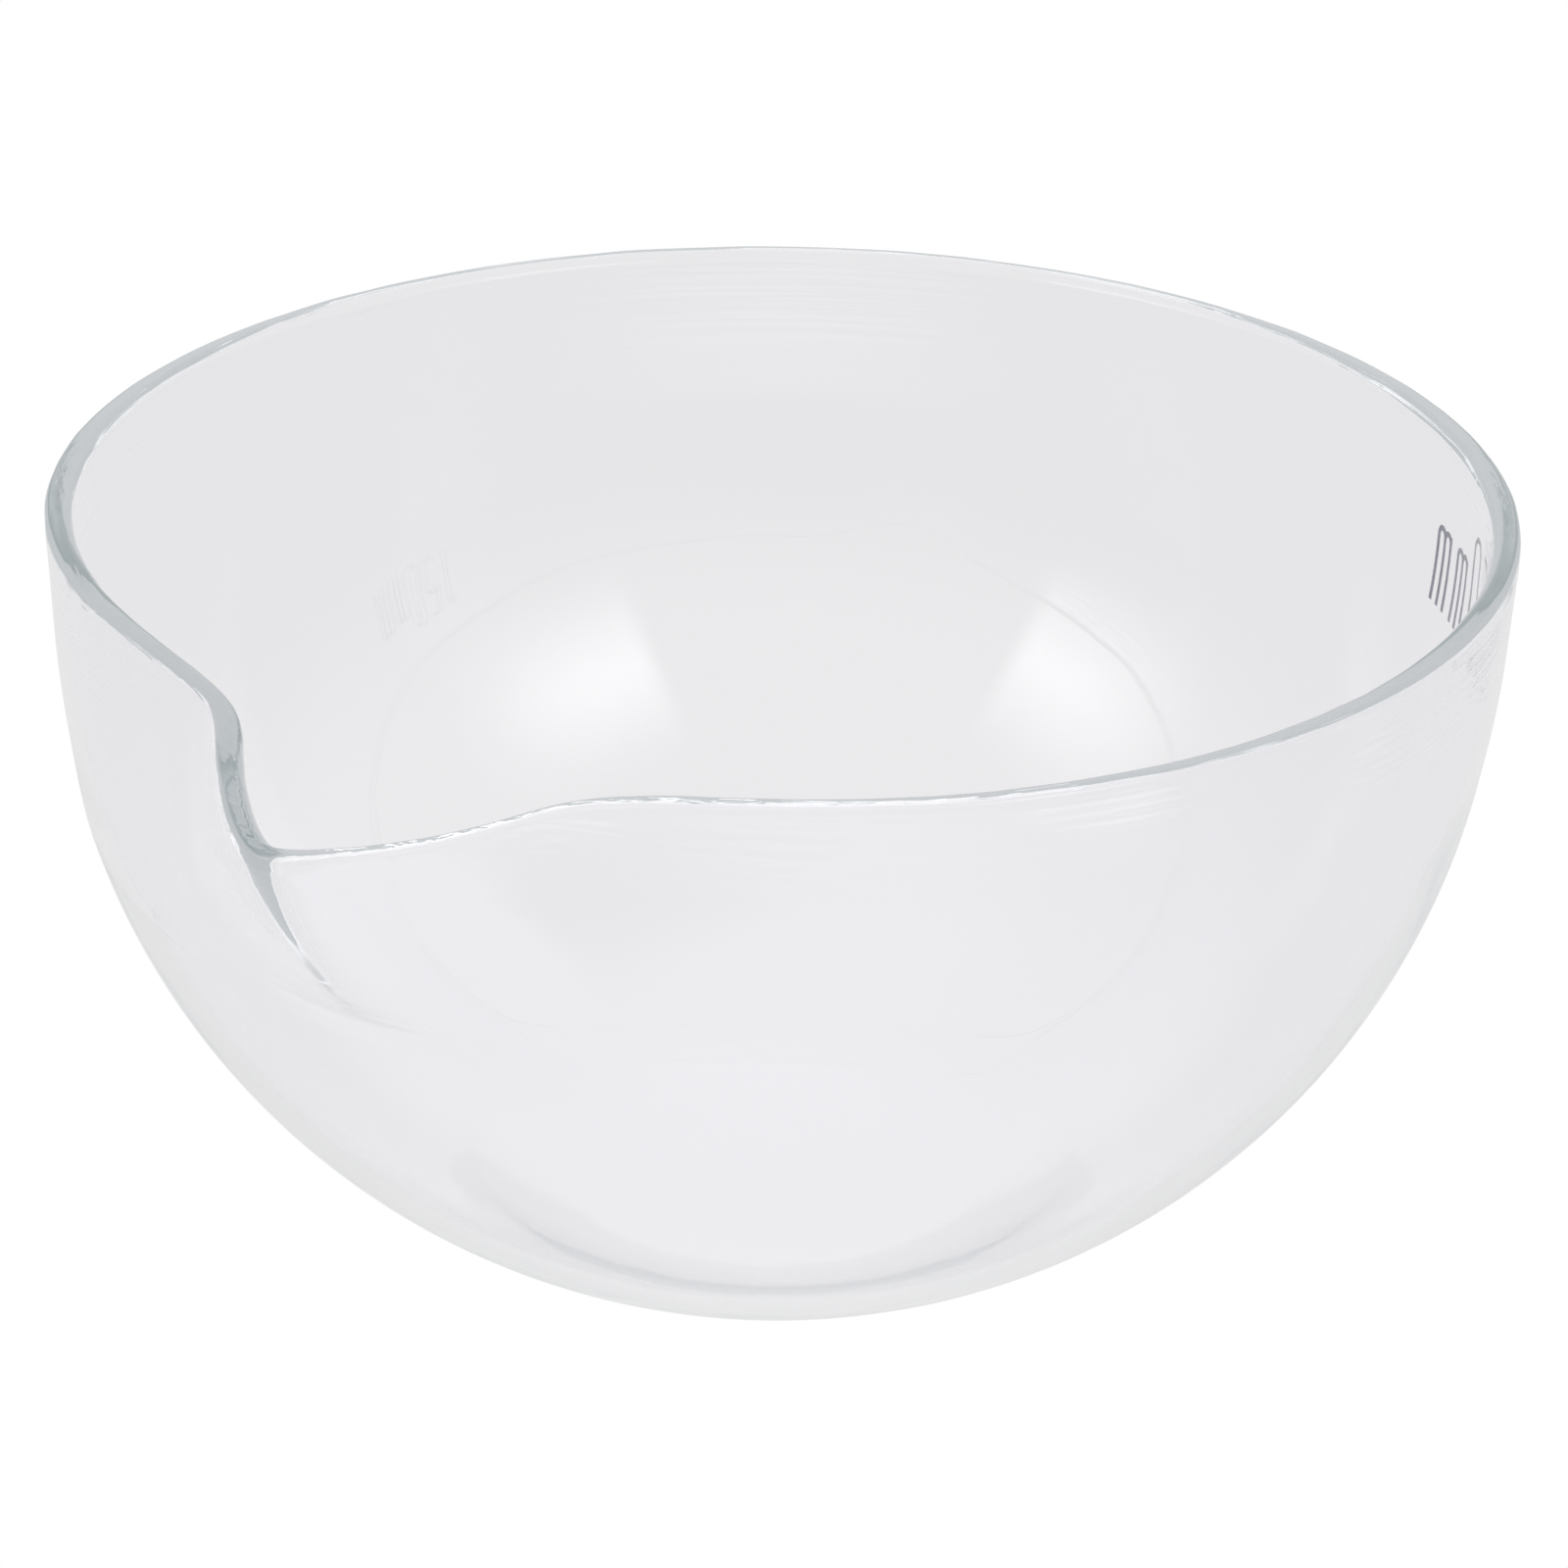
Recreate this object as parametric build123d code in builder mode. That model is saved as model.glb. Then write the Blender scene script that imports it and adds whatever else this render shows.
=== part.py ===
from build123d import *
from math import atan2, cos, exp, log, pi, radians, sin, sqrt
import os

# A pouring bowl formed from one piece of clear borosilicate glass: a deep round body on a small
# flat base, a slightly flared, fire-polished rim, and one sharp lip pulled out of the rim.
# The nominal diameter is fired on the outside of the wall in enamel.
#
# Frame: origin at the centre of the flat base, +Z up, the lip points to -Y. Millimetres.
# Angles round the wall are in degrees from the lip towards +X.

# ---- driving dimensions ----------------------------------------------------------------------
rim_radius = 75.0           # outside of the rim: a 150 mm bowl
height = 80.2               # base to the top of the rim, away from the lip
body_radius = 73.7          # outside of the round body
body_centre = 69.1          # height of the body's centre: upright wall above it, round below
wall = 2.1                  # glass thickness of the body
floor_thickness = 3.8       # the base is thicker
base_corner = 30.0          # outside corner between base and body
floor_corner = 30.0         # inside corner
rim_thickness = 2.9         # the rim swells a little when it is fire-polished
rim_outer_squareness = 6.0  # 2 is a round edge; more is flatter on top, with a tighter corner
rim_inner_squareness = 4.0
flare_height = 22.0         # height over which the wall leans out to the rim
flare_curve = 1.3           # 1 is a straight flare; more leans out later

# the pouring lip
lip_reach = 10.5            # how far its point stands out beyond the round rim
lip_half = 14.8             # degrees to each side of the pulled V, at the rim
lip_blend = 1.2             # degrees over which the V's sides turn back into the rim
lip_crease = 1.3            # degrees of rounding on the V's crease
lip_foot = 50.5             # height at which the crease dies out in the wall
lip_fade = 1.4              # how soon the lip fades below the rim: 1 is a straight fade
lip_foot_width = 1.2        # width of the V at its foot, as a share of its width at the rim
lip_drop = 4.3              # how far the rim is pressed down at the lip
lip_drop_half = 18.2        # degrees to each side over which it is pressed down
sag = 2.1                   # how far the softened rim sinks round the lip as well
sag_spread = 35.0           # degrees to each side over which it sinks
pinch = 6.6                 # how far the rim is drawn in beside the lip
pinch_spread = 37.0         # degrees to each side over which it is drawn in

# the fired size mark
mark_azimuth = 127.0        # middle of the mark
mark_base = 60.6            # height of its base line
digit_height = 13.2
digit_width = 4.0
letter_height = 9.1
letter_width = 4.35
stroke = 0.62
glyph_gap = 2.1
enamel = 0.08               # thickness of the enamel
clear = 0.03                # between the enamel's underside and the glass

# ---- shape of the wall -----------------------------------------------------------------------
rim_centre = height - rim_thickness / 2
inner_radius = body_radius - wall
flare_out = rim_radius - body_radius
flare_in = rim_radius - rim_thickness - inner_radius
level_count = 19            # heights at which rings are set out on each face, closer towards the rim
rim_steps = 16              # rings over the top of the rim
corner_steps = 5            # rings round each corner of the base


def plain_radius(side, z):
    """Radius of the outer (side 1) or inner (side -1) face of the bowl at height z, lip left out."""
    radius, flare = (body_radius, flare_out) if side > 0 else (inner_radius, flare_in)
    below = max(body_centre - z, 0.0)
    share = max((z - rim_centre) / flare_height + 1, 0.0)
    return sqrt(radius**2 - below**2) + flare * share**flare_curve


def lip_share(z):
    """0 at the lip's foot, 1 at the rim."""
    return min(max(z - lip_foot, 0.0) / (rim_centre - lip_foot), 1.0)


def v_shape(a):
    """The pulled V, a degrees from the lip: straight sides, rounded crease, soft ends."""
    rounded = sqrt(a * a + lip_crease**2) - lip_crease
    return lip_blend * log(1 + exp((lip_half - rounded) / lip_blend))


def pull(a, z):
    """How far the wall stands out of the round body, a degrees from the lip."""
    share = lip_share(z)
    width = lip_foot_width + (1 - lip_foot_width) * share
    v = (lip_reach + pinch) * v_shape(a / width) / v_shape(0)
    drawn_in = pinch * exp(-((a / pinch_spread) ** 2))
    return (1 - (1 - share) ** lip_fade) * (v - drawn_in)


def drop(a, z):
    """How far the wall is pressed down and has sunk round the lip."""
    pressed = lip_drop * exp(-(abs(a / lip_drop_half) ** 3))
    sunk = sag * exp(-((a / sag_spread) ** 2))
    return lip_share(z) ** 2 * (pressed + sunk)


def slant(a, z):
    """Length along the radius of one millimetre of wall thickness, where the wall slants."""
    step = 0.05
    sideways = (pull(a + step, z) - pull(a - step, z)) / radians(2 * step) / body_radius
    upwards = (pull(a, z + step) - pull(a, z - step)) / (2 * step)
    return sqrt(1 + sideways**2 + upwards**2)


def wall_point(a, side, z, layer=0.0):
    """Radius and height of one face of the wall, or of a layer on it, a degrees from the lip."""
    extra = side * (wall / 2 * (slant(a, z) - 1) + layer)
    return plain_radius(side, z) + pull(a, z) + extra, z - drop(a, z)


def rim_point(a, turn):
    """Radius and height on the flattened, rounded rim, turn going from 0 outside to pi inside."""
    outer, level = wall_point(a, 1, rim_centre)
    inner, level = wall_point(a, -1, rim_centre)
    squareness = rim_outer_squareness if cos(turn) > 0 else rim_inner_squareness
    reach = (abs(cos(turn)) ** squareness + sin(turn) ** squareness) ** (-1 / squareness)
    radius = (outer + inner + (outer - inner) * reach * cos(turn)) / 2
    return radius, level + rim_thickness / 2 * reach * sin(turn)


def corner_points(side, corner, level):
    """Points round the corner between a flat at this height and one face of the body."""
    radius = body_radius if side > 0 else inner_radius
    rise = level + corner - body_centre
    middle = sqrt((radius - corner) ** 2 - rise**2)
    last = atan2(rise, middle)
    turns = [-pi / 2 + (last + pi / 2) * i / corner_steps for i in range(corner_steps + 1)]
    return [(middle + corner * cos(turn), level + corner + corner * sin(turn)) for turn in turns]


def levels(start):
    """Heights from the end of a corner up to the rim, closer together towards the rim."""
    turns = [pi / 2 * i / level_count for i in range(1, level_count + 1)]
    return [start + (rim_centre - start) * sin(turn) for turn in turns]


def ring(point_at):
    """Closed curve round the bowl, through the radius and height that point_at(a) gives."""
    half = [*lip_angles, *side_angles]
    points = []
    for a in [180, *[-a for a in reversed(half)], *half[1:]]:
        radius, z = point_at(a)
        points.append(Vector(radius * sin(radians(a)), -radius * cos(radians(a)), z))
    return Wire([Edge.make_spline(points, periodic=True)])


# ---- the bowl --------------------------------------------------------------------------------
lip_angles = [0, 1, 2.2, 3.6, 5.2, 7, 8.8, 10.6, 12.4, 14.2, 16, 18, 20.5, 23.5, 27, 31, 36]
side_angles = [42, 49, 57, 66, 76, 88, *range(105, 180, 15)]

# rings up the outside, over the rim and down the inside
base_corner_points = corner_points(1, base_corner, 0)
floor_corner_points = corner_points(-1, floor_corner, floor_thickness)
outside = [ring(lambda a: point) for point in base_corner_points]
outside += [ring(lambda a: wall_point(a, 1, z)) for z in levels(base_corner_points[-1][1])]
inside = [ring(lambda a: point) for point in floor_corner_points]
inside += [ring(lambda a: wall_point(a, -1, z)) for z in levels(floor_corner_points[-1][1])]
over_rim = [ring(lambda a: rim_point(a, pi * i / rim_steps)) for i in range(1, rim_steps)]

with BuildPart() as glass_bowl:
    skins = [Shell.make_loft(band) for band in (outside, [outside[-1], *over_rim, inside[-1]], inside)]
    flats = [Face(outside[0]), Face(inside[0])]
    add(Solid(Shell([*(skin.face() for skin in skins), *flats])))

# ---- the size mark ---------------------------------------------------------------------------
line_height = digit_height - stroke
line_width = digit_width - stroke


def draw_one():
    stem = line_width * 0.7
    Line((stem, 0), (stem, line_height + stroke / 2))
    Line((line_width * 0.2, line_height * 0.84), (stem, line_height))


def draw_five():
    waist = line_height * 0.56
    bowl_radius = line_width / 2
    Polyline((line_width * 0.95, line_height), (line_width * 0.12, line_height), (0, waist))
    ThreePointArc((0, waist), (bowl_radius, waist + line_height * 0.05), (line_width, waist - bowl_radius))
    Line((line_width, waist - bowl_radius), (line_width, bowl_radius))
    ThreePointArc((line_width, bowl_radius), (bowl_radius, 0), (0, bowl_radius))


def draw_zero():
    end = line_width / 2
    for x, low, high in ((0, end, line_height - end), (line_width, end, line_height - end)):
        Line((x, low), (x, high))
    ThreePointArc((0, end), (end, 0), (line_width, end))
    ThreePointArc((0, line_height - end), (end, line_height), (line_width, line_height - end))


def draw_m():
    pitch = (letter_width - stroke) / 2
    top = letter_height - stroke
    shoulder = top - pitch / 2
    Line((0, 0), (0, top))
    for left in (0, pitch):
        ThreePointArc((left, shoulder), (left + pitch / 2, top), (left + pitch, shoulder))
        Line((left + pitch, shoulder), (left + pitch, 0))


glyphs = [
    (draw_one, digit_width),
    (draw_five, digit_width),
    (draw_zero, digit_width),
    (draw_m, letter_width),
    (draw_m, letter_width),
]
mark_levels = [mark_base - 1 + (digit_height + 2) * i / 6 for i in range(7)]
mark_length = sum(width for draw, width in glyphs) + glyph_gap * (len(glyphs) - 1)

with BuildPart() as size_mark:
    along = -mark_length / 2
    for draw, width in glyphs:
        around = radians(mark_azimuth) + (along + width / 2) / body_radius
        glyph_plane = Plane(
            origin=(0, 0, mark_base + stroke / 2),
            x_dir=(cos(around), sin(around), 0),
            z_dir=(sin(around), -cos(around), 0),
        )
        with BuildSketch(glyph_plane.offset(body_radius - 10)):
            with BuildLine(Plane.XY) as strokes:
                draw()
            with Locations((-(width - stroke) / 2, 0)):
                trace(strokes.line, line_width=stroke)
        extrude(amount=20)
        along += width + glyph_gap
    # keep what lies in the thin layer on the outer face of the wall
    with BuildSketch(Plane.XZ, mode=Mode.PRIVATE) as layer:
        with BuildLine():
            on_glass = Spline(*[wall_point(180, 1, z, clear) for z in mark_levels])
            on_top = Spline(*[wall_point(180, 1, z, clear + enamel) for z in mark_levels])
            Line(on_glass @ 0, on_top @ 0)
            Line(on_glass @ 1, on_top @ 1)
        make_face()
    revolve(layer.sketch, axis=Axis.Z, mode=Mode.INTERSECT)

# ---- write the pieces ------------------------------------------------------------------------
os.makedirs("parts", exist_ok=True)
glass_bowl.part.label = "glass_bowl"
size_mark.part.label = "size_mark"
export_step(glass_bowl.part, "parts/glass_bowl.step")
export_step(size_mark.part, "parts/size_mark.step")
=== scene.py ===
import bmesh
import bpy
from math import atan2, cos, pi, radians, sin, sqrt
from mathutils import Matrix, Vector


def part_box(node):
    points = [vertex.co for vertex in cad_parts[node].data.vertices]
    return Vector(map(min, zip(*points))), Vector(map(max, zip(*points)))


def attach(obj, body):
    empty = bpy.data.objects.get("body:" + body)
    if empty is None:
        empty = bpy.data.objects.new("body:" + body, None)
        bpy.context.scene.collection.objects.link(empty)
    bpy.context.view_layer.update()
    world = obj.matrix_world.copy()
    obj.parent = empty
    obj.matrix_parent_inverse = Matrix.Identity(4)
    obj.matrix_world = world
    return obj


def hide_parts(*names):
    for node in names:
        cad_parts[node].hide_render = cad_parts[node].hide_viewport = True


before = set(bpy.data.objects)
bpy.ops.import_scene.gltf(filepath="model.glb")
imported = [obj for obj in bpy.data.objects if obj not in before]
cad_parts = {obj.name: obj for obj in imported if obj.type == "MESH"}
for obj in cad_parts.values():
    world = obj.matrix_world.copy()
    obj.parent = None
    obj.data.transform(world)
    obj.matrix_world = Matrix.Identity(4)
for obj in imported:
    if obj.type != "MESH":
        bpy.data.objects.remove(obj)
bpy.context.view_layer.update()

MM = 0.001

# ---- sizes of the blown bowl, as in the design, in metres and degrees ------------------------
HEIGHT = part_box("glass_bowl")[1][2]
RIM_RADIUS = 75.0 * MM
BODY_RADIUS = 73.7 * MM
BODY_CENTRE = 69.1 * MM
WALL = 2.1 * MM
FLOOR_THICKNESS = 3.8 * MM
BASE_CORNER = 30.0 * MM
FLOOR_CORNER = 30.0 * MM
RIM_THICKNESS = 2.9 * MM
# 2 is a round edge; more is flatter on top, with a tighter corner. These are a little rounder than
# the design's, so that the light caught in the rim shows as a narrower band
RIM_OUTER_SQUARENESS = 4.5
RIM_INNER_SQUARENESS = 2.2
FLARE_HEIGHT = 22.0 * MM    # height over which the wall leans out to the rim
FLARE_CURVE = 1.3           # 1 is a straight flare; more leans out later
RIM_CENTRE = HEIGHT - RIM_THICKNESS / 2
INNER_RADIUS = BODY_RADIUS - WALL

# the pouring lip, by the names of the node group's inputs
LIP_SIZES = {
    "Rim centre": RIM_CENTRE,
    "Reach": 10.5 * MM,
    "Half angle": 14.8,
    "Blend angle": 1.2,
    "Crease angle": 1.3,
    "Foot": 50.5 * MM,
    "Fade": 1.4,
    "Foot width share": 1.2,
    "Drop": 4.3 * MM,
    "Drop angle": 18.2,
    "Sag": 2.1 * MM,
    "Sag angle": 35.0,
    "Pinch": 6.6 * MM,
    "Pinch angle": 37.0,
}

# the uneven surface that the flame leaves on the rim
RIPPLE_SIZES = {
    "Ripple height": 0.22 * MM,
    "Ripple length": 7.0 * MM,
    "Ripple depth below rim": 5.0 * MM,
}

# the sweep round the bowl; steps at the lip are a share of an even step
SWEEP_SIZES = {"Wall": WALL, "Body radius": BODY_RADIUS, "Lip step share": 0.35}
STEPS_ROUND = 460

# how finely the section is divided
WALL_LEVELS = 58
LEVEL_CROWDING = 1.6        # 1 is even; more sets the levels closer together towards the rim
CORNER_STEPS = 12
RIM_STEPS = 30
FLAT_RINGS = 5


# ---- nodes -----------------------------------------------------------------------------------
def add(tree, kind, inputs=(), **settings):
    """Adds a node with its settings. Its inputs, in order or by name, are links or plain values."""
    node = tree.nodes.new(kind)
    for name, value in settings.items():
        setattr(node, name, value)
    for key, value in inputs.items() if isinstance(inputs, dict) else enumerate(inputs):
        if isinstance(value, bpy.types.Node):
            value = value.outputs[0]
        if isinstance(value, bpy.types.NodeSocket):
            tree.links.new(value, node.inputs[key])
        elif value is not None:
            node.inputs[key].default_value = value
    return node


def colour(hex_value):
    """An sRGB hex colour as linear red, green, blue and alpha."""
    parts = [int(hex_value[i : i + 2], 16) / 255 for i in (1, 3, 5)]
    return [c / 12.92 if c <= 0.04045 else ((c + 0.055) / 1.055) ** 2.4 for c in parts] + [1.0]


def named_inputs(tree, sizes):
    """Gives a geometry tree one float input for each size, with the size as its default."""
    for name, value in sizes.items():
        socket = tree.interface.new_socket(name, in_out="INPUT", socket_type="NodeSocketFloat")
        socket.default_value = value


MATH = "ShaderNodeMath"
VECTOR_MATH = "ShaderNodeVectorMath"
MAP_RANGE = "ShaderNodeMapRange"
NOISE = "ShaderNodeTexNoise"


# ---- the bowl's section ----------------------------------------------------------------------
def wall_radius(side, z):
    """Radius of the outer (side 1) or inner (side -1) face at height z, with the lip left out."""
    radius, rim = (BODY_RADIUS, RIM_RADIUS) if side > 0 else (INNER_RADIUS, RIM_RADIUS - RIM_THICKNESS)
    share = max((z - RIM_CENTRE) / FLARE_HEIGHT + 1, 0.0)
    below = max(BODY_CENTRE - z, 0.0)
    return sqrt(radius**2 - below**2) + (rim - radius) * share**FLARE_CURVE


def face_section(side, corner, level):
    """One face of the bowl from its centre up to the rim: radius, height and side of each point."""
    radius = BODY_RADIUS if side > 0 else INNER_RADIUS
    rise = level + corner - BODY_CENTRE
    middle = sqrt((radius - corner) ** 2 - rise**2)
    last = atan2(rise, middle)
    points = [(middle * i / FLAT_RINGS, level, side) for i in range(FLAT_RINGS)]
    for i in range(CORNER_STEPS + 1):
        turn = -pi / 2 + (last + pi / 2) * i / CORNER_STEPS
        points.append((middle + corner * cos(turn), level + corner + corner * sin(turn), side))
    start = points[-1][1]
    for i in range(1, WALL_LEVELS + 1):
        z = RIM_CENTRE - (RIM_CENTRE - start) * (1 - i / WALL_LEVELS) ** LEVEL_CROWDING
        points.append((wall_radius(side, z), z, side))
    return points


def bowl_section():
    """The whole section: up the inside, over the rim and down the outside to the centre."""
    over_rim = []
    half = RIM_THICKNESS / 2
    for i in range(1, RIM_STEPS):
        turn = pi - pi * i / RIM_STEPS
        squareness = RIM_OUTER_SQUARENESS if cos(turn) > 0 else RIM_INNER_SQUARENESS
        reach = (abs(cos(turn)) ** squareness + sin(turn) ** squareness) ** (-1 / squareness)
        across = reach * cos(turn)
        z = RIM_CENTRE + half * reach * sin(turn)
        over_rim.append((RIM_RADIUS - half + half * across, z, across))
    outside = face_section(1, BASE_CORNER, 0.0)
    inside = face_section(-1, FLOOR_CORNER, FLOOR_THICKNESS)
    return inside + over_rim + outside[::-1]


def section_object(points):
    """An open line of points, each carrying its radius, its height and the side of the wall it is on."""
    mesh = bpy.data.meshes.new("bowl_section")
    edges = [(i, i + 1) for i in range(len(points) - 1)]
    mesh.from_pydata([(radius, 0, z) for radius, z, side in points], edges, [])
    for name, column in (("from_axis", 0), ("above_base", 1), ("wall_side", 2)):
        values = mesh.attributes.new(name, "FLOAT", "POINT")
        values.data.foreach_set("value", [point[column] for point in points])
    section = bpy.data.objects.new("glass_bowl_shown", mesh)
    bpy.context.scene.collection.objects.link(section)
    return section


# ---- geometry nodes: the pouring lip and the sweep round the bowl ----------------------------
def lip_tree():
    """How far the pouring lip pulls the wall out and presses it down, by azimuth and height."""
    tree = bpy.data.node_groups.new("pouring_lip", "GeometryNodeTree")
    named_inputs(tree, {"Azimuth": 0.0, "Height": 0.0, **LIP_SIZES})
    for name in ("Pull", "Press"):
        tree.interface.new_socket(name, in_out="OUTPUT", socket_type="NodeSocketFloat")
    size = add(tree, "NodeGroupInput").outputs

    # 0 at the lip's foot, 1 at the rim, and the same share fading less quickly
    above = add(tree, MATH, [size["Height"], size["Foot"]], operation="SUBTRACT")
    full = add(tree, MATH, [size["Rim centre"], size["Foot"]], operation="SUBTRACT")
    share = add(tree, MATH, [above, full], operation="DIVIDE", use_clamp=True)
    left_over = add(tree, MATH, [1.0, share], operation="SUBTRACT")
    lost = add(tree, MATH, [left_over, size["Fade"]], operation="POWER")
    kept = add(tree, MATH, [1.0, lost], operation="SUBTRACT")

    # the pulled V: straight sides, a rounded crease, soft ends, and narrower at its foot
    widening = add(tree, MATH, [1.0, size["Foot width share"]], operation="SUBTRACT")
    width = add(tree, MATH, [widening, share, size["Foot width share"]], operation="MULTIPLY_ADD")
    turn = add(tree, MATH, [size["Azimuth"], width], operation="DIVIDE")
    crease = size["Crease angle"]
    crease_square = add(tree, MATH, [crease, crease], operation="MULTIPLY")
    square = add(tree, MATH, [turn, turn, crease_square], operation="MULTIPLY_ADD")
    root = add(tree, MATH, [square, 0.5], operation="POWER")
    rounded = add(tree, MATH, [root, crease], operation="SUBTRACT")
    sides = []
    for away in (rounded, 0.0):
        inside = add(tree, MATH, [size["Half angle"], away], operation="SUBTRACT")
        scaled = add(tree, MATH, [inside, size["Blend angle"]], operation="DIVIDE")
        grown = add(tree, MATH, [scaled], operation="EXPONENT")
        more = add(tree, MATH, [grown, 1.0], operation="ADD")
        log_base = add(tree, MATH, [1.0], operation="EXPONENT")
        sides.append(add(tree, MATH, [more, log_base], operation="LOGARITHM"))
    v_shape = add(tree, MATH, sides, operation="DIVIDE")

    # bell-shaped changes: the rim drawn in, pressed down and sunk, each over its own angle
    bells = {}
    for name, power in (("Pinch", 2.0), ("Drop", 3.0), ("Sag", 2.0)):
        ratio = add(tree, MATH, [size["Azimuth"], size[name + " angle"]], operation="DIVIDE")
        distance = add(tree, MATH, [ratio], operation="ABSOLUTE")
        raised = add(tree, MATH, [distance, power], operation="POWER")
        falling = add(tree, MATH, [raised, -1.0], operation="MULTIPLY")
        bell = add(tree, MATH, [falling], operation="EXPONENT")
        bells[name] = add(tree, MATH, [bell, size[name]], operation="MULTIPLY")

    whole = add(tree, MATH, [size["Reach"], size["Pinch"]], operation="ADD")
    pulled = add(tree, MATH, [whole, v_shape], operation="MULTIPLY")
    net = add(tree, MATH, [pulled, bells["Pinch"]], operation="SUBTRACT")
    pull = add(tree, MATH, [net, kept], operation="MULTIPLY")
    lowered = add(tree, MATH, [bells["Drop"], bells["Sag"]], operation="ADD")
    share_square = add(tree, MATH, [share, share], operation="MULTIPLY")
    press = add(tree, MATH, [lowered, share_square], operation="MULTIPLY")
    add(tree, "NodeGroupOutput", {"Pull": pull, "Press": press})
    return tree


def bowl_tree(lip, glass):
    """Sweeps the section once round, pulls the lip out of it and ripples the rim."""
    tree = bpy.data.node_groups.new("pouring_bowl", "GeometryNodeTree")
    tree.interface.new_socket("Section", in_out="INPUT", socket_type="NodeSocketGeometry")
    named_inputs(tree, {**LIP_SIZES, **RIPPLE_SIZES, **SWEEP_SIZES})
    steps = tree.interface.new_socket("Steps round", in_out="INPUT", socket_type="NodeSocketInt")
    steps.default_value = STEPS_ROUND
    tree.interface.new_socket("Bowl", in_out="OUTPUT", socket_type="NodeSocketGeometry")
    size = add(tree, "NodeGroupInput").outputs

    # azimuth of each step, in degrees from the lip, with the steps closer together at the lip
    index = add(tree, "GeometryNodeInputIndex")
    doubled = add(tree, MATH, [index, 2.0], operation="MULTIPLY")
    round_share = add(tree, MATH, [doubled, size["Steps round"]], operation="DIVIDE")
    t = add(tree, MATH, [round_share, 1.0], operation="SUBTRACT")
    t_square = add(tree, MATH, [t, t], operation="MULTIPLY")
    cube = add(tree, MATH, [t_square, t], operation="MULTIPLY")
    uneven = add(tree, MATH, [1.0, size["Lip step share"]], operation="SUBTRACT")
    even = add(tree, MATH, [t, size["Lip step share"]], operation="MULTIPLY")
    mixed = add(tree, MATH, [cube, uneven, even], operation="MULTIPLY_ADD")
    degrees = add(tree, MATH, [mixed, 180.0], operation="MULTIPLY")

    circle = add(tree, "GeometryNodeCurvePrimitiveCircle", {"Resolution": size["Steps round"]})
    store = "GeometryNodeStoreNamedAttribute"
    path = add(tree, store, {"Geometry": circle, "Name": "azimuth", "Value": degrees}, domain="POINT")
    section = add(tree, "GeometryNodeMeshToCurve", {"Mesh": size["Section"]})
    swept = add(tree, "GeometryNodeCurveToMesh", {"Curve": path, "Profile Curve": section})

    known = {}
    for name in ("azimuth", "from_axis", "above_base", "wall_side"):
        known[name] = add(tree, "GeometryNodeInputNamedAttribute", {"Name": name}, data_type="FLOAT")
    level = add(tree, MATH, [known["above_base"], size["Rim centre"]], operation="MINIMUM")

    # the lip here, a little further round and a little higher
    angle_step = 0.05
    height_step = 0.05 * MM
    further = add(tree, MATH, [known["azimuth"], angle_step], operation="ADD")
    lower = add(tree, MATH, [level, height_step], operation="SUBTRACT")
    lip_here, lip_further, lip_lower = [
        add(
            tree,
            "GeometryNodeGroup",
            {**{name: size[name] for name in LIP_SIZES}, "Azimuth": azimuth, "Height": height},
            node_tree=lip,
        )
        for azimuth, height in ((known["azimuth"], level), (further, level), (known["azimuth"], lower))
    ]

    # where the wall slants, its faces move apart so that its thickness stays the same
    round_change = add(tree, MATH, [lip_further, lip_here], operation="SUBTRACT")
    arc = add(tree, MATH, [size["Body radius"], radians(angle_step)], operation="MULTIPLY")
    round_slope = add(tree, MATH, [round_change, arc], operation="DIVIDE")
    up_change = add(tree, MATH, [lip_here, lip_lower], operation="SUBTRACT")
    up_slope = add(tree, MATH, [up_change, height_step], operation="DIVIDE")
    up_square = add(tree, MATH, [up_slope, up_slope, 1.0], operation="MULTIPLY_ADD")
    slope_square = add(tree, MATH, [round_slope, round_slope, up_square], operation="MULTIPLY_ADD")
    slant = add(tree, MATH, [slope_square, 0.5], operation="POWER")
    longer = add(tree, MATH, [slant, 1.0], operation="SUBTRACT")
    half_wall = add(tree, MATH, [size["Wall"], 0.5], operation="MULTIPLY")
    widened = add(tree, MATH, [longer, half_wall], operation="MULTIPLY")
    apart = add(tree, MATH, [widened, known["wall_side"]], operation="MULTIPLY")
    moved = add(tree, MATH, [known["from_axis"], lip_here], operation="ADD")
    radius = add(tree, MATH, [moved, apart], operation="ADD")
    height = add(tree, MATH, [known["above_base"], lip_here.outputs["Press"]], operation="SUBTRACT")

    turn = add(tree, MATH, [known["azimuth"]], operation="RADIANS")
    sine = add(tree, MATH, [turn], operation="SINE")
    cosine = add(tree, MATH, [turn], operation="COSINE")
    x = add(tree, MATH, [radius, sine], operation="MULTIPLY")
    minus_y = add(tree, MATH, [radius, cosine], operation="MULTIPLY")
    y = add(tree, MATH, [minus_y, -1.0], operation="MULTIPLY")
    place = add(tree, "ShaderNodeCombineXYZ", [x, y, height])
    shaped = add(tree, "GeometryNodeSetPosition", {"Geometry": swept, "Position": place})

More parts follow.
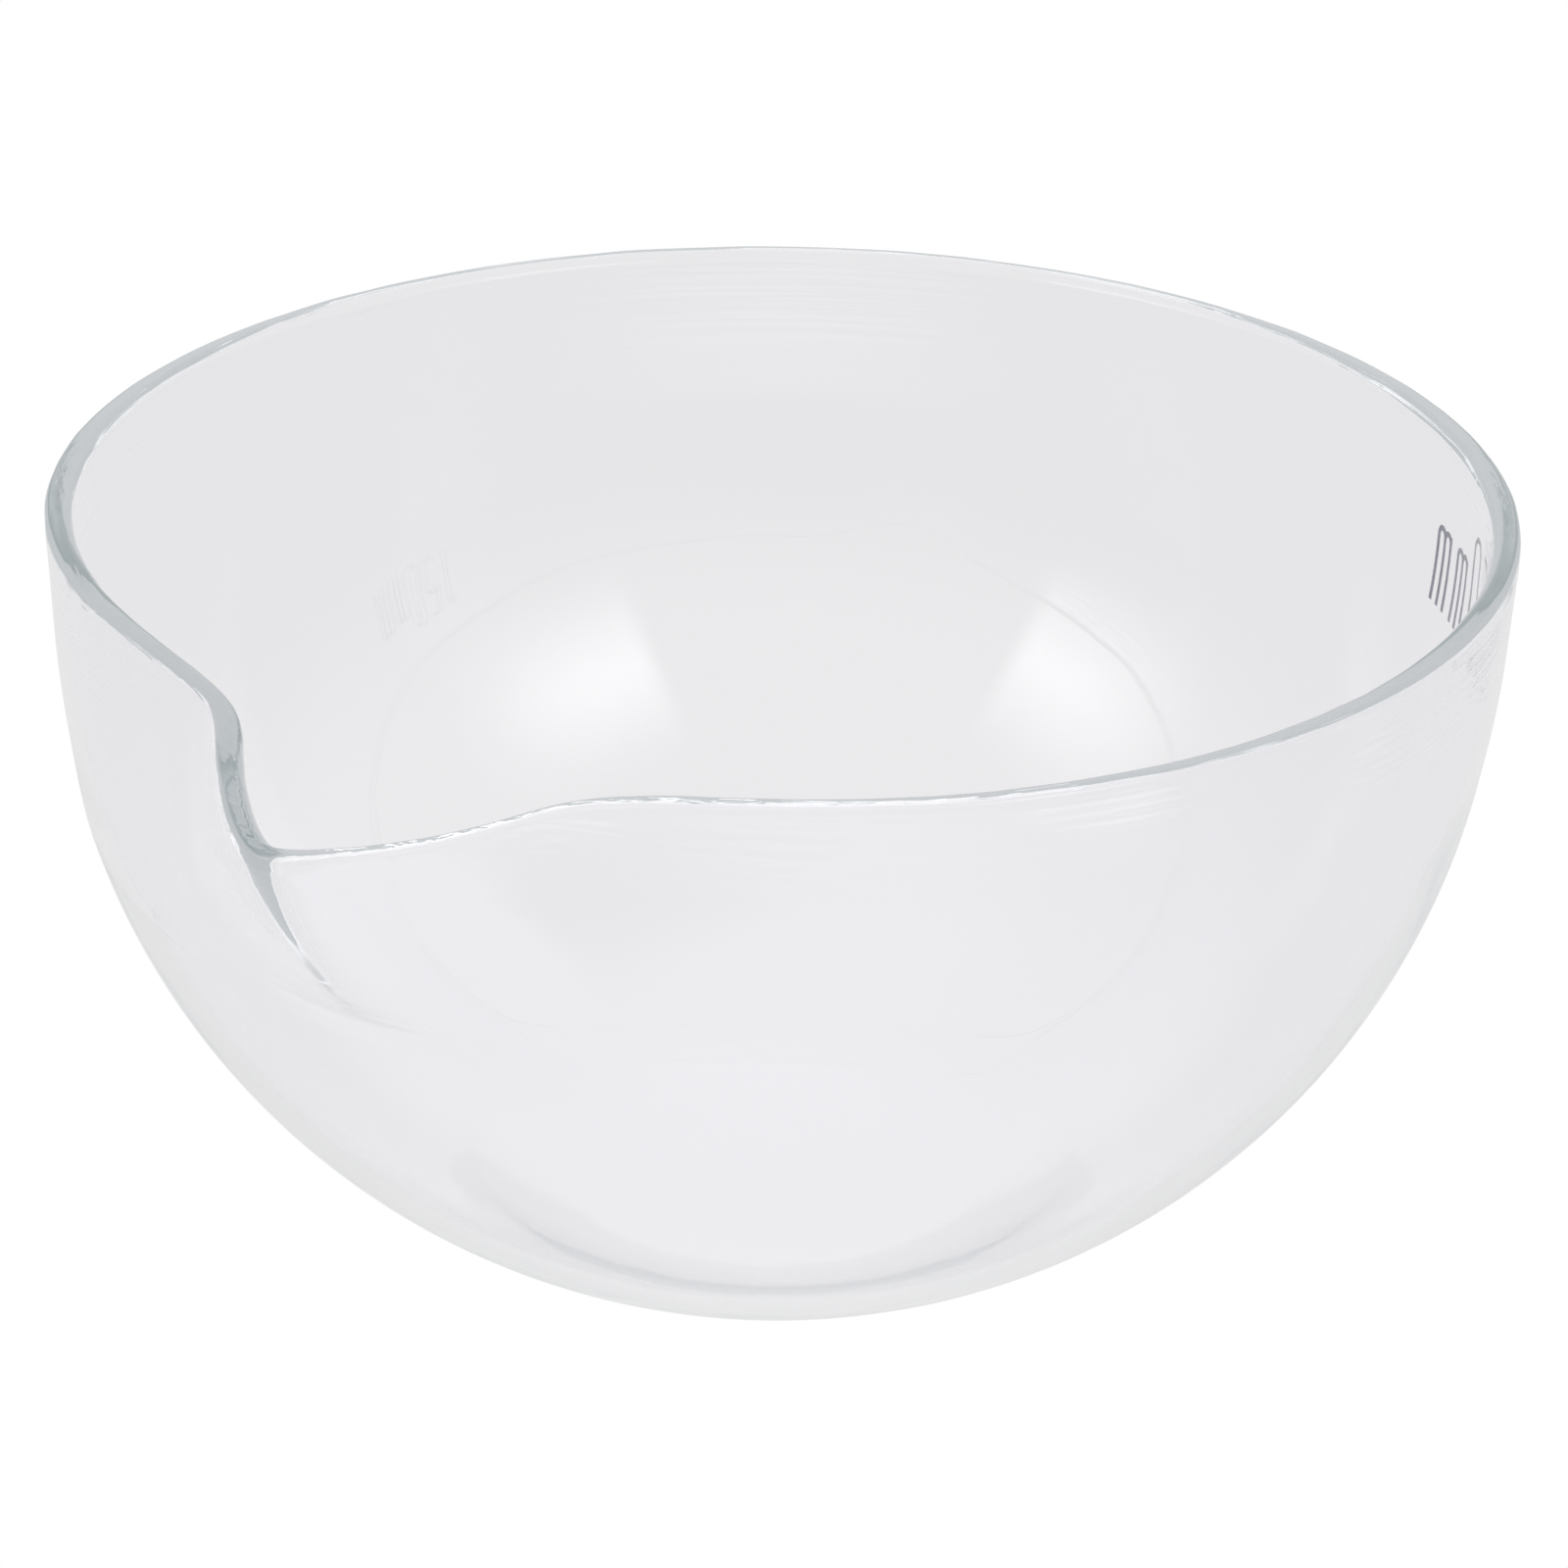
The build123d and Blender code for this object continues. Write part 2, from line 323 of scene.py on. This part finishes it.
    # ripples that fade out below the rim
    fade_start = add(
        tree, MATH, [size["Rim centre"], size["Ripple depth below rim"]], operation="SUBTRACT"
    )
    near_rim = add(
        tree,
        MAP_RANGE,
        {"Value": known["above_base"], "From Min": fade_start, "From Max": size["Rim centre"]},
        interpolation_type="SMOOTHSTEP",
    )
    per_metre = add(tree, MATH, [1.0, size["Ripple length"]], operation="DIVIDE")
    ripple = add(tree, NOISE, {"Scale": per_metre, "Detail": 1.5})
    ripple_height = add(tree, MATH, [near_rim, size["Ripple height"]], operation="MULTIPLY")
    centred = add(tree, MATH, [ripple, 0.5], operation="SUBTRACT")
    ripple_move = add(tree, MATH, [centred, ripple_height], operation="MULTIPLY")
    normal = add(tree, "GeometryNodeInputNormal")
    offset = add(tree, VECTOR_MATH, {0: normal, "Scale": ripple_move}, operation="SCALE")
    rippled = add(tree, "GeometryNodeSetPosition", {"Geometry": shaped, "Offset": offset})

    closed = add(tree, "GeometryNodeMergeByDistance", {"Geometry": rippled, "Distance": 0.01 * MM})
    smooth = add(tree, "GeometryNodeSetShadeSmooth", {"Geometry": closed})
    real = add(tree, "GeometryNodeRealizeInstances", {"Geometry": smooth})
    finish = add(tree, "GeometryNodeSetMaterial", {"Geometry": real, "Material": glass})
    add(tree, "NodeGroupOutput", [finish])
    return tree


def make_bowl(glass):
    """The bowl as one plain closed mesh, swept and shaped by the geometry nodes."""
    bowl = section_object(bowl_section())
    modifier = bowl.modifiers.new("pouring_bowl", "NODES")
    modifier.node_group = bowl_tree(lip_tree(), glass)
    sizes = {**LIP_SIZES, **RIPPLE_SIZES, **SWEEP_SIZES, "Steps round": STEPS_ROUND}
    for socket in modifier.node_group.interface.items_tree:
        if socket.in_out == "INPUT" and socket.name in sizes:
            modifier[socket.identifier] = sizes[socket.name]
    seen = bowl.evaluated_get(bpy.context.evaluated_depsgraph_get())
    mesh = bpy.data.meshes.new_from_object(seen)
    bowl.modifiers.remove(modifier)
    bowl.data = mesh
    for name in ("azimuth", "from_axis", "above_base", "wall_side"):
        if name in mesh.attributes:
            mesh.attributes.remove(mesh.attributes[name])
    return bowl


# ---- materials -------------------------------------------------------------------------------
def new_material(name):
    """An empty node material, and its tree."""
    material = bpy.data.materials.new(name)
    material.use_nodes = True
    material.node_tree.nodes.clear()
    return material, material.node_tree


# streaks drawn round the softened rim, and the heights over which they come in
STREAK_APART = 0.8 * MM
STREAK_LENGTH = 40 * MM
STREAKS_START, STREAKS_FULL = 68 * MM, 74 * MM

# painted glow: light caught in the wall runs on round it past what is traced, so after some reflections
# inside the glass the surface gives out light of its own in its place
CAUGHT_AFTER = 3.0          # reflections inside the glass
PAINTED_CAUGHT_GLOW = 0.43


def clear_glass():
    """Blown borosilicate 3.3 glass, fire-polished. The eye gets clean see-through walls, a grey-green
    depth where it looks along the rim, from the glass's tint and from a painted glow, faint waves where
    the wall was blown and turned, and fine streaks round the rim."""
    material, tree = new_material("borosilicate_glass_fire_polished")
    place = add(tree, "ShaderNodeTexCoord").outputs["Object"]
    # broad waves from blowing, about 18 mm long, and fine cords in the glass, about 3 mm apart
    waves = add(tree, NOISE, {"Vector": place, "Scale": 1 / (18 * MM), "Detail": 2.0, "Roughness": 0.4})
    stretched = add(tree, VECTOR_MATH, [place, (1.0, 1.0, 0.25)], operation="MULTIPLY")
    cords = add(tree, NOISE, {"Vector": stretched, "Scale": 1 / (3 * MM), "Detail": 1.0})
    wave_bump = add(tree, "ShaderNodeBump", {"Strength": 1.0, "Distance": 0.05 * MM, "Height": waves})
    cord_bump = add(
        tree,
        "ShaderNodeBump",
        {"Strength": 1.0, "Distance": 0.002 * MM, "Height": cords, "Normal": wave_bump},
    )
    # the rim's streaks follow it round, and their ends meet at the lip's crease, where they don't show
    parts = add(tree, "ShaderNodeSeparateXYZ", [place])
    round_axis = add(tree, MATH, [parts.outputs["X"], parts.outputs["Y"]], operation="ARCTAN2")
    flat = add(tree, VECTOR_MATH, [place, (1.0, 1.0, 0.0)], operation="MULTIPLY")
    from_axis = add(tree, VECTOR_MATH, [flat], operation="LENGTH").outputs["Value"]
    along = add(tree, MATH, [round_axis, RIM_RADIUS * STREAK_APART / STREAK_LENGTH], operation="MULTIPLY")
    drawn = add(tree, "ShaderNodeCombineXYZ", [from_axis, along, parts.outputs["Z"]])
    streaks = add(tree, NOISE, {"Vector": drawn, "Scale": 1 / STREAK_APART, "Detail": 1.0})
    near_rim = add(tree, MAP_RANGE, [parts.outputs["Z"], STREAKS_START, STREAKS_FULL, 0.0, 1.0])
    streak_bump = add(
        tree,
        "ShaderNodeBump",
        {"Strength": near_rim, "Distance": 0.06 * MM, "Height": streaks, "Normal": cord_bump},
    )
    # traces of handling, about 9 mm across, that leave the polish a little less sharp
    traces = add(tree, NOISE, {"Vector": place, "Scale": 1 / (9 * MM), "Detail": 4.0})
    roughness = add(tree, MAP_RANGE, [traces, 0.45, 0.75, 0.004, 0.02])
    # painted glow: after a few reflections inside the glass it gives out grey-green light, standing in
    # for the caught light
    caught = add(tree, "ShaderNodeLightPath").outputs["Glossy Depth"]
    painted_glow = add(tree, MAP_RANGE, [caught, CAUGHT_AFTER, CAUGHT_AFTER + 1, 0.0, PAINTED_CAUGHT_GLOW])
    glass = add(
        tree,
        "ShaderNodeBsdfPrincipled",
        {
            "Base Color": colour("#FEFDFF"),
            "Roughness": roughness,
            "IOR": 1.473,
            "Transmission Weight": 1.0,
            "Normal": streak_bump,
            "Emission Color": colour("#D2D5D8"),
            "Emission Strength": painted_glow,
        },
    )
    depth = add(tree, "ShaderNodeVolumeAbsorption", {"Color": colour("#C4D1D1"), "Density": 11.0})
    add(tree, "ShaderNodeOutputMaterial", {"Surface": glass, "Volume": depth})
    return material


def fired_enamel():
    """Ceramic enamel printed through a screen and fired on the glass. The eye gets a matt blue-grey,
    a little thin in places, with the mesh of the screen just showing."""
    material, tree = new_material("fired_ceramic_enamel")
    place = add(tree, "ShaderNodeTexCoord").outputs["Object"]
    # screen mesh of about 0.12 mm drawn at 0.3 mm so that it shows, and thin patches of about 2 mm
    mesh_marks = add(tree, NOISE, {"Vector": place, "Scale": 1 / (0.3 * MM), "Detail": 1.0})
    thin = add(tree, NOISE, {"Vector": place, "Scale": 1 / (2 * MM), "Detail": 3.0})
    cover = add(tree, MATH, [mesh_marks, thin], operation="MULTIPLY")
    share = add(tree, MAP_RANGE, [cover, 0.12, 0.4, 0.0, 1.0])
    ink = add(
        tree,
        "ShaderNodeMix",
        {0: share, 6: colour("#4A4E68"), 7: colour("#747A90")},
        data_type="RGBA",
    )
    bump = add(tree, "ShaderNodeBump", {"Strength": 0.6, "Distance": 0.01 * MM, "Height": mesh_marks})
    enamel = add(
        tree,
        "ShaderNodeBsdfPrincipled",
        {"Base Color": ink.outputs[2], "Roughness": 0.45, "IOR": 1.55, "Normal": bump},
    )
    add(tree, "ShaderNodeOutputMaterial", {"Surface": enamel})
    return material


# ---- the pieces ------------------------------------------------------------------------------
glass_bowl = make_bowl(clear_glass())
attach(glass_bowl, "root")
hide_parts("glass_bowl")

# the size mark keeps its design shape, on the outside of the wall
size_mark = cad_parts["size_mark"]
size_mark.data.materials.clear()
size_mark.data.materials.append(fired_enamel())

# ---- camera ----------------------------------------------------------------------------------
CAMERA_DISTANCE = 0.600     # from the middle of the rim
CAMERA_AZIMUTH = radians(33.25)
CAMERA_RISE = radians(22.28)    # above the rim's plane
CAMERA_ROLL = radians(0.66)
CAMERA_LENS = 135.6         # millimetres on a 36 mm sensor
AIM_ASIDE = 0.9 * MM        # the camera points a little right of the axis
AIM_BELOW_RIM = 32.2 * MM

# ---- studio ----------------------------------------------------------------------------------
WHITE = colour("#FFFFFF")
FLOOR_WIDTH = 6.0
FLOOR_BELOW = 0.2 * MM      # keeps the floor off the base
FLOOR_SEEN_IN_GLASS = 0.81  # the floor's light as the glass sees it
# painted pool of light: the floor's glow is made brighter in front of the bowl, where the glass sees it
PAINTED_POOL_SEEN_IN_GLASS = 1.4    # the same in the middle of the pool of light
PAINTED_POOL_AHEAD = 0.20           # the pool's middle, from the bowl's axis towards the camera
PAINTED_POOL_RADIUS = 0.20
CEILING = 1.28              # the light from above
CEILING_RISE = 0.5          # sine of the height at which the dome is as bright as its top


def paper_floor():
    """White paper lit from behind: pure white seen directly, and a little grey through the glass, with a
    painted pool of light in front of the bowl.
    """
    half = FLOOR_WIDTH / 2
    corners = [(-half, -half), (half, -half), (half, half), (-half, half)]
    mesh = bpy.data.meshes.new("floor")
    mesh.from_pydata([(x, y, -FLOOR_BELOW) for x, y in corners], [], [(0, 1, 2, 3)])
    floor = bpy.data.objects.new("floor", mesh)
    bpy.context.scene.collection.objects.link(floor)
    material, tree = new_material("white_paper_with_painted_pool")
    # a soft painted pool of light on the paper in front of the bowl: its glow is made brighter there
    place = add(tree, "ShaderNodeNewGeometry").outputs["Position"]
    ahead = Vector((sin(CAMERA_AZIMUTH), -cos(CAMERA_AZIMUTH), 0)) * PAINTED_POOL_AHEAD
    away = add(tree, VECTOR_MATH, [place, ahead], operation="DISTANCE").outputs["Value"]
    pool = add(
        tree,
        MAP_RANGE,
        [away, 0.0, PAINTED_POOL_RADIUS, PAINTED_POOL_SEEN_IN_GLASS, FLOOR_SEEN_IN_GLASS],
        interpolation_type="SMOOTHSTEP",
    )
    straight = add(tree, "ShaderNodeLightPath").outputs["Is Camera Ray"]
    strength = add(tree, "ShaderNodeMix", {0: straight, 2: pool, 3: 1.0}, data_type="FLOAT")
    light = add(tree, "ShaderNodeEmission", [WHITE, strength])
    add(tree, "ShaderNodeOutputMaterial", {"Surface": light})
    mesh.materials.append(material)


# soft boxes: azimuth and height in degrees, brightness, and which side has the sharp edge
SOFT_BOXES = [
    {"azimuth": 80.0, "height": 35.0, "brightness": 2.0, "sharp": -1.0},
    {"azimuth": -34.0, "height": 27.0, "brightness": 2.0, "sharp": 1.0},
]
# their edges, as tangents of the angle from the middle, from where each is dark to where it is bright
SHARP_SIDE, SOFT_SIDE = (0.36, 0.26), (-0.45, 0.15)
TOP_EDGE, BOTTOM_EDGE = (0.34, -0.05), (-0.34, 0.05)
NEARLY_ABREAST = 0.05       # keeps the tangents finite off to the side


def studio_dome():
    """A pale grey dome with two soft boxes on it; seen directly it is pure white."""
    dome_mesh = bpy.data.meshes.new("studio_dome")
    dome = bpy.data.objects.new("studio_dome", dome_mesh)
    bpy.context.scene.collection.objects.link(dome)
    shape = bmesh.new()
    bmesh.ops.create_uvsphere(shape, u_segments=64, v_segments=32, radius=FLOOR_WIDTH / 2)
    shape.to_mesh(dome_mesh)
    shape.free()
    material, tree = new_material("lit_studio_cloth")
    place = add(tree, "ShaderNodeNewGeometry").outputs["Position"]
    direction = add(tree, VECTOR_MATH, [place], operation="NORMALIZE").outputs["Vector"]
    parts = add(tree, "ShaderNodeSeparateXYZ", [direction])
    light = add(
        tree,
        MAP_RANGE,
        {
            "Value": parts.outputs["Z"],
            "From Min": 0.0,
            "From Max": CEILING_RISE,
            "To Min": FLOOR_SEEN_IN_GLASS,
            "To Max": CEILING,
        },
        interpolation_type="SMOOTHSTEP",
    )
    for box in SOFT_BOXES:
        azimuth, rise = radians(box["azimuth"]), radians(box["height"])
        out = Vector((sin(azimuth) * cos(rise), -cos(azimuth) * cos(rise), sin(rise)))
        aside = Vector((0, 0, 1)).cross(out).normalized() * box["sharp"]
        up = out.cross(aside) * box["sharp"]
        ahead = add(tree, VECTOR_MATH, [direction, out], operation="DOT_PRODUCT").outputs["Value"]
        facing = add(tree, MATH, [ahead, NEARLY_ABREAST], operation="MAXIMUM")
        across = add(tree, VECTOR_MATH, [direction, aside], operation="DOT_PRODUCT").outputs["Value"]
        upward = add(tree, VECTOR_MATH, [direction, up], operation="DOT_PRODUCT").outputs["Value"]
        x = add(tree, MATH, [across, facing], operation="DIVIDE")
        y = add(tree, MATH, [upward, facing], operation="DIVIDE")
        glow = box["brightness"]
        for value, limits in ((x, SHARP_SIDE), (x, SOFT_SIDE), (y, TOP_EDGE), (y, BOTTOM_EDGE)):
            edge = add(tree, MAP_RANGE, [value, *limits, 0.0, 1.0], interpolation_type="SMOOTHSTEP")
            glow = add(tree, MATH, [edge, glow], operation="MULTIPLY")
        light = add(tree, MATH, [light, glow], operation="ADD")
    straight = add(tree, "ShaderNodeLightPath").outputs["Is Camera Ray"]
    strength = add(tree, "ShaderNodeMix", {0: straight, 2: light, 3: 1.0}, data_type="FLOAT")
    cloth = add(tree, "ShaderNodeEmission", [WHITE, strength])
    add(tree, "ShaderNodeOutputMaterial", {"Surface": cloth})
    dome_mesh.materials.append(material)


def set_camera():
    """A long lens, above the rim and to the right of the lip."""
    data = bpy.data.cameras.new("camera")
    data.lens = CAMERA_LENS
    data.sensor_width = 36.0
    data.clip_start, data.clip_end = 0.01, 20.0
    camera = bpy.data.objects.new("camera", data)
    bpy.context.scene.collection.objects.link(camera)
    level = CAMERA_DISTANCE * cos(CAMERA_RISE)
    place = Vector((
        level * sin(CAMERA_AZIMUTH),
        -level * cos(CAMERA_AZIMUTH),
        HEIGHT + CAMERA_DISTANCE * sin(CAMERA_RISE),
    ))
    aim = Vector((
        AIM_ASIDE * cos(CAMERA_AZIMUTH),
        AIM_ASIDE * sin(CAMERA_AZIMUTH),
        HEIGHT - AIM_BELOW_RIM,
    ))
    turn = (aim - place).to_track_quat("-Z", "Y").to_matrix().to_4x4()
    camera.matrix_world = Matrix.Translation(place) @ turn @ Matrix.Rotation(CAMERA_ROLL, 4, "Z")
    bpy.context.scene.camera = camera


paper_floor()
studio_dome()
set_camera()
bpy.context.scene.view_settings.view_transform = "Standard"
